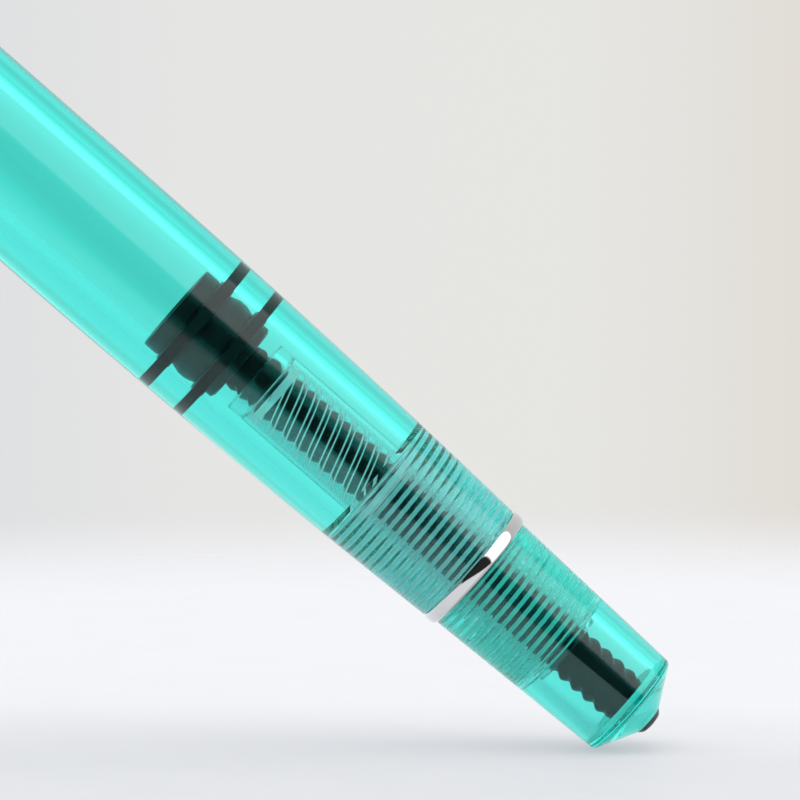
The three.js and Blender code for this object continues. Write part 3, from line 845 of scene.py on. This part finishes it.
def make_inner_cap():
    bore, web, hole = 5.32, 130.3, 1.86
    rows = path(
        (bore + 0.25, LINER_REAR),
        (LINER_R, LINER_REAR, 0.08),
        (LINER_R, LINER_FRONT, 0.3),
        (hole, LINER_FRONT),
        (hole, web),
        (bore, web, 0.5),
        (bore, LINER_REAR + 0.8),
    )
    return finished("inner_cap_look", turned(rows), LINER, "cap_thread_carrier", "inner_cap")


def make_finial():
    socket, socket_end = 2.0, 136.2
    shoulder_radius, shoulder = 6.1, 136.9
    tip = FINIAL_FRONT
    bore = 0.8
    rows = path(
        (0, TOP_JEWEL_STUD - 0.04),
        (bore, TOP_JEWEL_STUD - 0.04),
        (bore, tip),
        (TOP_JEWEL_R, tip, 0.04),
        (shoulder_radius, shoulder, 0.5),
        (FINIAL_R, FINIAL_REAR, 0.12),
        (socket, FINIAL_REAR),
        (socket, socket_end, 0.1),
        (0, socket_end),
        steps=8,
    )
    return finished("finial_look", turned(rows), TEAL, "cap", "finial", sided=True)


def make_screw():
    head_top, shank = 130.2, 1.75
    rows = path((0, SCREW_REAR), (SCREW_R, SCREW_REAR, 0.2), (SCREW_R, head_top, 0.05), (shank, head_top))
    rows += thread(shank - 0.02, head_top + 0.1, SCREW_FRONT - 0.4, 0.5, 0.16)
    rows += path((shank - 0.1, SCREW_FRONT - 0.35), (shank - 0.3, SCREW_FRONT), (0, SCREW_FRONT))
    bm = turned(rows, SMALL_SEGMENTS)
    return finished("finial_screw_look", bm, BLACK, "cap_pull_carrier", "finial_screw")


def make_clip():
    """A spring clip: a crowned strip that leaves its ring, runs down the cap and ends in a ball."""
    low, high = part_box("clip_arm")
    root, outer = -high.y / MM, -low.y / MM
    top, end = high.z / MM - 0.42, low.z / MM
    half_width, end_half_width, thickness = 1.5, 1.15, 0.85
    rise, fall = outer - thickness / 2, outer - thickness / 2 - 0.35
    ball = 4.2
    spine = [(root, top, 0.0), (root + 0.6, top, 0.0)]
    bend = rise - root - 0.6
    for angle in np.linspace(12, 78, 7):
        a = math.radians(angle)
        spine.append((root + 0.6 + bend * math.sin(a), top - bend * (1 - math.cos(a)), a))
    run_from = top - bend
    for t in np.linspace(0, 1, 15):
        spine.append((rise + (fall - rise) * t, run_from + (end + ball - run_from) * t, math.pi / 2))
    for t in np.linspace(0, 1, 14)[1:]:
        spine.append((fall, end + ball * (1 - t), math.pi / 2))
    around = 28
    rings = []
    for y, z, turn in spine:
        along = min(1.0, (top - z) / (top - end - ball))
        into_ball = max(0.0, (end + ball - z) / ball)
        taper = math.sqrt(max(0.02, 1 - max(0.0, (into_ball - 0.72) / 0.28) ** 2))
        width = (half_width + (end_half_width - half_width) * along) * taper
        bulge = 0.78 * math.sin(math.pi * min(1.0, into_ball)) ** 0.8
        shape = []
        for k in range(around):
            a = 2 * math.pi * k / around
            x = width * math.copysign(abs(math.cos(a)) ** 0.7, math.cos(a))
            crown = math.copysign(abs(math.sin(a)) ** 0.8, math.sin(a))
            off = thickness / 2 * crown * taper if crown > 0 else (thickness / 2 * taper + bulge) * crown
            shape.append((x, -(y + off * math.sin(turn)), z + off * math.cos(turn)))
        rings.append(shape)
    first = [tuple(np.mean(rings[0], axis=0))]
    last = [tuple(np.mean(rings[-1], axis=0))]
    bm = surface([first, *rings, last], closed=False)
    return finished("clip_arm_look", bm, CHROME, "clip", "clip_arm")


# ---------------------------------------------------------------- the pen
make_barrel()
make_knob()
tail_jewel = jewel("knob_thread_carrier", "tail_jewel", JEWEL_R, JEWEL_TIP, KNOB_REAR + 0.26, 0.36)
make_tail_ring()
make_guide()
make_sleeve()
make_rod()
make_piston_head()
make_piston_seal("piston_rear_seal", REAR_SEAL_REAR, REAR_SEAL_FRONT)
make_piston_seal("piston_front_seal", FRONT_SEAL_REAR, FRONT_SEAL_FRONT)
make_section()
ring("pen", "section_seal", 4.2, 0.4, RUBBER)
ring("pen", "section_ring", 4.0, 0.3, CHROME)
make_collar()
make_feed()
make_nib()
make_cap_tube()
make_cap_band()
make_lip_ring()
make_inner_cap()
ring("cap", "clip_ring", 2.2, 0.2, CHROME)
make_clip()
make_finial()
make_screw()
jewel("cap", "finial_jewel", TOP_JEWEL_R, TOP_JEWEL_TIP, TOP_JEWEL_STUD, 0.75)

# ---------------------------------------------------------------- photograph's view, floor and light
LEAN = math.radians(41.3)  # the pen's lean from the floor
PITCH = math.radians(5)  # the camera looks down by this much
RIGHT = Vector((math.sin(LEAN), 0, -math.cos(LEAN)))  # picture's right, in the pen's frame
UP = Vector((math.cos(LEAN), 0, math.sin(LEAN)))  # straight up from the floor
AWAY = Vector((0, 1, 0))
VIEW_WIDTH = 64.2 * MM  # the picture's width at the pen
CAMERA_DISTANCE = 0.5
TARGET = Vector((6.26, 0, 32.6)) * MM  # the picture's middle
FLOOR_DROP = -1.93 * MM  # the floor's height along UP, where the knob's rim rests


def make_camera():
    data = bpy.data.cameras.new("camera")
    data.sensor_width = 36
    data.lens = data.sensor_width * CAMERA_DISTANCE / VIEW_WIDTH
    camera = bpy.data.objects.new("camera", data)
    bpy.context.scene.collection.objects.link(camera)
    forward = AWAY * math.cos(PITCH) - UP * math.sin(PITCH)
    tilted_up = UP * math.cos(PITCH) + AWAY * math.sin(PITCH)
    turn = Matrix((RIGHT, tilted_up, -forward)).transposed().to_4x4()
    camera.matrix_world = Matrix.Translation(TARGET - forward * CAMERA_DISTANCE) @ turn
    bpy.context.scene.camera = camera


def make_floor(tail_piece):
    """A pale sheet under the leaning pen, which fades out all round and is seen only from above.

    It goes where tail_piece goes, so the pen still stands on it when the knob has come out.
    """
    size = 0.6
    rest = Vector((-4.8, 0, 2.6)) * MM
    centre = rest - UP * (rest.dot(UP) - FLOOR_DROP)
    bm = bmesh.new()
    bmesh.ops.create_grid(bm, x_segments=8, y_segments=8, size=size)
    mesh = bpy.data.meshes.new("floor")
    bm.to_mesh(mesh)
    bm.free()
    floor = bpy.data.objects.new("floor", mesh)
    bpy.context.scene.collection.objects.link(floor)
    turn = Matrix((RIGHT, AWAY, UP)).transposed().to_4x4()
    floor.matrix_world = Matrix.Translation(centre) @ turn
    follow = floor.constraints.new("COPY_LOCATION")
    follow.target = tail_piece
    follow.use_offset = True
    s = Shader("floor_paper")
    distance = s.node("ShaderNodeVectorMath", Vector=s.position)
    distance.operation = "LENGTH"
    fade = s.between(distance.outputs["Value"], 1.0, 0.0, 0.11, 0.19)
    geometry = s.node("ShaderNodeNewGeometry").outputs
    front = s.combine("SUBTRACT", fade, geometry["Backfacing"])
    front.use_clamp = True
    depth = s.node("ShaderNodeSeparateXYZ", Vector=s.position).outputs[1]
    rays = s.node("ShaderNodeLightPath").outputs
    through_plastic = rays["Is Transmission Ray"]
    incoming = s.node("ShaderNodeSeparateXYZ", Vector=geometry["Incoming"]).outputs[2]
    # The floor glows, dimmer up to just behind the pen and brighter further back: a painted shade near the
    # pen. Through the plastic it glows evenly and brighter.
    far = s.between(depth, through_plastic, 1.0, -0.010, 0.026)
    # In mirrors its glow is dimmed for rays that run near the pen's axis: a painted shade on the mirrored
    # floor.
    mirrored = s.between(incoming, 0.85, 0.2, 0.5, 0.75)
    bent = s.between(through_plastic, 1.0, 1.22, 0.0, 1.0)
    s.set(
        Base_Color=s.tint(s.noise(0.15), (0.21, 0.21, 0.21), (0.19, 0.19, 0.19)),
        Roughness=0.6,
        Specular_IOR_Level=0.1,
        Emission_Color=s.tint(far, (0.385, 0.395, 0.425), (0.495, 0.50, 0.535)),
        Emission_Strength=s.between(rays["Is Glossy Ray"], bent, mirrored, 0.0, 1.0),
        Alpha=front.outputs[0],
    )
    s.bump(s.noise(1.5, detail=4.0), 0.02)
    floor.data.materials.append(s.material)


def make_world():
    """A plain backdrop for the camera, and soft panels for every ray that is mirrored or bent."""
    world = bpy.data.worlds.new("studio")
    bpy.context.scene.world = world
    world.use_nodes = True
    tree = world.node_tree
    tree.nodes.clear()
    nodes = tree.nodes

    def made(kind, *values, operation=None):
        node = nodes.new(kind)
        if operation:
            node.operation = operation
        for socket, value in zip(node.inputs, values):
            if isinstance(value, bpy.types.NodeSocket):
                tree.links.new(value, socket)
            else:
                socket.default_value = value
        return node

    direction = made("ShaderNodeTexCoord").outputs["Generated"]
    axes = made("ShaderNodeSeparateXYZ", direction)
    x, y, z = axes.outputs
    toward = made("ShaderNodeMath", y, -1.0, operation="MULTIPLY").outputs[0]
    angle = made("ShaderNodeMath", x, toward, operation="ARCTAN2").outputs[0]
    share = made("ShaderNodeMapRange", angle, -math.pi, math.pi, 0.0, 1.0).outputs[0]

    def ramp(value, *stops):
        node = nodes.new("ShaderNodeValToRGB")
        tree.links.new(value, node.inputs[0])
        elements = node.color_ramp.elements
        while len(elements) < len(stops):
            elements.new(0.5)
        for element, (place, color) in zip(elements, stops):
            element.position = place
            element.color = (*color, 1)
        return node.outputs[0]

    def at(degrees):
        return (degrees + 180) / 360

    def blend(share, first, second, kind="MIX"):
        node = nodes.new("ShaderNodeMix")
        node.data_type = "RGBA"
        node.blend_type = kind
        for index, value in ((0, share), (6, first), (7, second)):
            if isinstance(value, bpy.types.NodeSocket):
                tree.links.new(value, node.inputs[index])
            else:
                node.inputs[index].default_value = value
        return node.outputs[2]

    def grey(value):
        return (value, value, value)

    rays = nodes.new("ShaderNodeLightPath").outputs
    # Angles go round the pen's axis: 0 is the camera's side, 90 is +X and 180 is behind the pen.
    bent = ramp(
        share,
        (at(-180), (0.70, 0.70, 0.69)),
        (at(-166), (0.80, 0.80, 0.80)),
        (at(-150), (1.05, 1.05, 1.05)),
        (at(-100), (1.05, 1.05, 1.06)),
        (at(-60), grey(0.55)),
        (at(-10), grey(0.40)),
        (at(-4), grey(0.04)),
        (at(32), grey(0.04)),
        (at(38), grey(0.55)),
        (at(106), grey(0.45)),
        (at(112), grey(1.35)),
        (at(122), grey(1.30)),
        (at(134), grey(1.15)),
        (at(142), grey(0.98)),
        (at(148), grey(0.84)),
        (at(154), grey(0.98)),
        (at(160), grey(0.88)),
        (at(166), grey(0.82)),
        (at(173), grey(0.75)),
        (at(180), (0.70, 0.70, 0.69)),
    )
    mirrored = ramp(
        share,
        (at(-180), grey(0.70)),
        (at(-100), grey(0.80)),
        (at(-60), grey(0.60)),
        (at(-34), grey(0.45)),
        (at(-28), grey(0.02)),
        (at(32), grey(0.02)),
        (at(37), grey(1.75)),
        (at(92), grey(1.75)),
        (at(97), grey(0.50)),
        (at(180), grey(0.70)),
    )
    panels = blend(rays["Is Transmission Ray"], mirrored, bent)
    ends = ramp(
        made("ShaderNodeMath", z, operation="ABSOLUTE").outputs[0],
        (0.0, grey(1)),
        (0.62, grey(1)),
        (0.80, grey(0.12)),
        (1.0, grey(0.12)),
    )
    studio = blend(1.0, panels, ends, "MULTIPLY")
    studio = blend(rays["Diffuse Depth"], studio, (1.8, 1.8, 1.8, 1))

    def lean_towards(axis, low, high):
        lean = made("ShaderNodeVectorMath", direction, axis, operation="DOT_PRODUCT").outputs["Value"]
        return made("ShaderNodeMapRange", lean, low, high, 0.0, 1.0).outputs[0]

    half_view = VIEW_WIDTH / 2 / CAMERA_DISTANCE
    middle = -math.sin(PITCH)
    wall = ramp(
        lean_towards(RIGHT, -half_view, half_view),
        (0.0, (0.745, 0.750, 0.760)),
        (0.25, (0.785, 0.785, 0.775)),
        (0.70, (0.790, 0.787, 0.765)),
        (0.88, (0.775, 0.760, 0.725)),
        (1.0, (0.755, 0.720, 0.675)),
    )
    above_floor = lean_towards(UP, middle - 0.58 * half_view, middle - 0.29 * half_view)
    rise = made("ShaderNodeMapRange", above_floor, 0.0, 1.0, 0.0, 1.0)
    rise.interpolation_type = "SMOOTHSTEP"
    backdrop = blend(rise.outputs[0], (0.90, 0.90, 0.925, 1), wall)
    seen = blend(rays["Is Camera Ray"], studio, backdrop)
    background = made("ShaderNodeBackground", seen, 1.0)
    output = nodes.new("ShaderNodeOutputWorld")
    tree.links.new(background.outputs[0], output.inputs[0])


def softbox(name, direction, distance, size, power):
    """A soft panel that faces the pen from a direction."""
    data = bpy.data.lights.new(name, "AREA")
    data.shape = "RECTANGLE"
    data.size, data.size_y = size
    data.energy = power
    light = bpy.data.objects.new(name, data)
    bpy.context.scene.collection.objects.link(light)
    place = direction.normalized() * distance + TARGET
    light.location = place
    light.rotation_euler = (TARGET - place).to_track_quat("-Z", "Y").to_euler()
    light.visible_camera = False
    light.visible_glossy = False
    light.visible_transmission = False


make_camera()
make_floor(tail_jewel)
make_world()
softbox("key", UP - AWAY * 0.1, 0.7, (0.5, 0.5), 2.5)

scene = bpy.context.scene
scene.view_settings.view_transform = "Standard"
scene.cycles.max_bounces = 40
scene.cycles.transmission_bounces = 40
scene.cycles.glossy_bounces = 24
scene.cycles.transparent_max_bounces = 40
scene.cycles.caustics_refractive = True
scene.cycles.sample_clamp_indirect = 6.0
